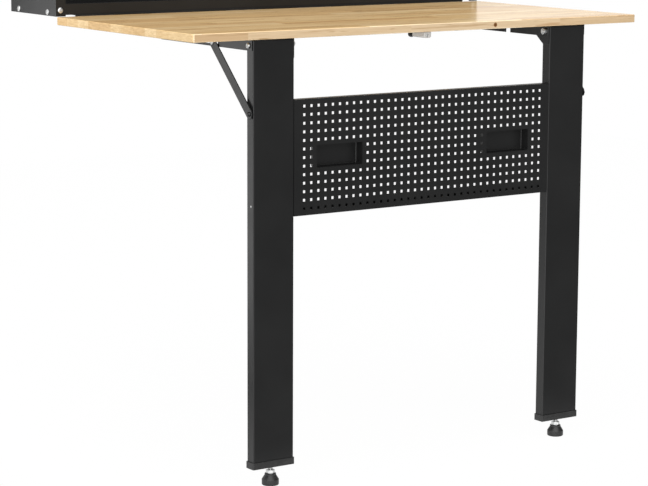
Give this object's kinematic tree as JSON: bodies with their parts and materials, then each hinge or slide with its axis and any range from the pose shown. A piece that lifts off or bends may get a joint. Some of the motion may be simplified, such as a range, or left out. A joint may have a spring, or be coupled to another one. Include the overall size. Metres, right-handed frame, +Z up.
{
  "type": "wall mounted folding workbench",
  "caption": "Folding workbench: wooden worktop hinged to a shallow steel wall cabinet, on folding steel legs with a perforated tool panel; lifting the front edge closes it.",
  "frame": {"origin": "middle of the cabinet's back, on the wall", "axes": "+X to the right seen from the room, +Y into the wall, +Z up"},
  "size_m": [1.2056, 0.8282, 1.5915],
  "materials": {
    "black_powder_coat": "satin black powder coat on sheet steel",
    "lacquered_wood": "satin lacquer on edge-glued pale hardwood",
    "zinc_plated_steel": "bright zinc plate",
    "black_plastic": "fine matt moulded plastic"
  },
  "bodies": {
    "cabinet": {"cabinet_back": "black_powder_coat", "cabinet_top": "black_powder_coat", "cabinet_bottom": "black_powder_coat", "cabinet_left_side": "black_powder_coat", "cabinet_right_side": "black_powder_coat", "side_screw_left_lower_front": "zinc_plated_steel", "side_screw_left_lower_rear": "zinc_plated_steel", "front_screw_left_lower": "zinc_plated_steel", "side_screw_left_upper_front": "zinc_plated_steel", "side_screw_left_upper_rear": "zinc_plated_steel", "front_screw_left_upper": "zinc_plated_steel", "side_screw_right_lower_front": "zinc_plated_steel", "side_screw_right_lower_rear": "zinc_plated_steel", "front_screw_right_lower": "zinc_plated_steel", "side_screw_right_upper_front": "zinc_plated_steel", "side_screw_right_upper_rear": "zinc_plated_steel", "front_screw_right_upper": "zinc_plated_steel", "hinge_cabinet_leaf": "black_powder_coat", "hinge_pin": "zinc_plated_steel", "latch_keeper": "zinc_plated_steel"},
    "worktop": {"worktop_board": "lacquered_wood", "hinge_worktop_leaf": "black_powder_coat", "latch_housing": "zinc_plated_steel", "left_leg_channel": "black_powder_coat", "left_pivot_bolt": "zinc_plated_steel", "left_pivot_nut": "zinc_plated_steel", "right_leg_channel": "black_powder_coat", "right_pivot_bolt": "zinc_plated_steel", "right_pivot_nut": "zinc_plated_steel"},
    "leg_frame": {"perforated_panel": "black_powder_coat", "left_leg": "black_powder_coat", "left_leg_cap": "black_plastic", "left_pull_cup": "black_powder_coat", "left_pivot_sleeve": "black_powder_coat", "left_stay_bolt": "black_powder_coat", "left_foot_insert": "zinc_plated_steel", "panel_bolt_left_upper": "black_powder_coat", "panel_bolt_left_lower": "black_powder_coat", "right_leg": "black_powder_coat", "right_leg_cap": "black_plastic", "right_pull_cup": "black_powder_coat", "right_pivot_sleeve": "black_powder_coat", "right_stay_bolt": "black_powder_coat", "right_foot_insert": "zinc_plated_steel", "panel_bolt_right_upper": "black_powder_coat", "panel_bolt_right_lower": "black_powder_coat"},
    "latch_bolt_and_knob": {"latch_bolt": "zinc_plated_steel", "latch_knob": "black_plastic"},
    "left_stay_bar": {"left_stay": "black_powder_coat", "left_stay_pin": "zinc_plated_steel"},
    "left_foot": {"left_foot_stem": "zinc_plated_steel", "left_foot_pad": "black_plastic", "left_foot_nut": "zinc_plated_steel"},
    "right_stay_bar": {"right_stay": "black_powder_coat", "right_stay_pin": "zinc_plated_steel"},
    "right_foot": {"right_foot_stem": "zinc_plated_steel", "right_foot_pad": "black_plastic", "right_foot_nut": "zinc_plated_steel"}
  },
  "joints": [
    {"name": "worktop_fold", "type": "hinge", "parent": "cabinet", "child": "worktop", "pos_m": [0, -0.2265, -0.30175], "axis": [-1, 0, 0], "range_deg": [0, 90]},
    {"name": "leg_fold", "type": "hinge", "parent": "worktop", "child": "leg_frame", "pos_m": [0, -0.8065, -0.3342], "axis": [1, 0, 0], "range_deg": [0, 90]},
    {"name": "latch_slide", "type": "slide", "parent": "worktop", "child": "latch_bolt_and_knob", "axis": [0, -1, 0], "range_m": [0, 0.008]},
    {"name": "left_stay_swing", "type": "hinge", "parent": "leg_frame", "child": "left_stay_bar", "pos_m": [-0.45425, -0.813, -0.478], "axis": [-1, 0, 0], "range_deg": [0, 132.72]},
    {"name": "right_stay_swing", "type": "hinge", "parent": "leg_frame", "child": "right_stay_bar", "pos_m": [0.45425, -0.813, -0.478], "axis": [-1, 0, 0], "range_deg": [0, 132.72]},
    {"name": "left_foot_level", "type": "slide", "parent": "leg_frame", "child": "left_foot", "axis": [0, 0, -1], "range_m": [-0.007, 0.02]},
    {"name": "right_foot_level", "type": "slide", "parent": "leg_frame", "child": "right_foot", "axis": [0, 0, -1], "range_m": [-0.007, 0.02]}
  ],
  "couplings": [
    {"joint": "leg_fold", "follows": "worktop_fold", "ratio": 1},
    {"joint": "left_stay_swing", "follows": "worktop_fold", "ratio": 1.4741},
    {"joint": "right_stay_swing", "follows": "worktop_fold", "ratio": 1.4741}
  ]
}
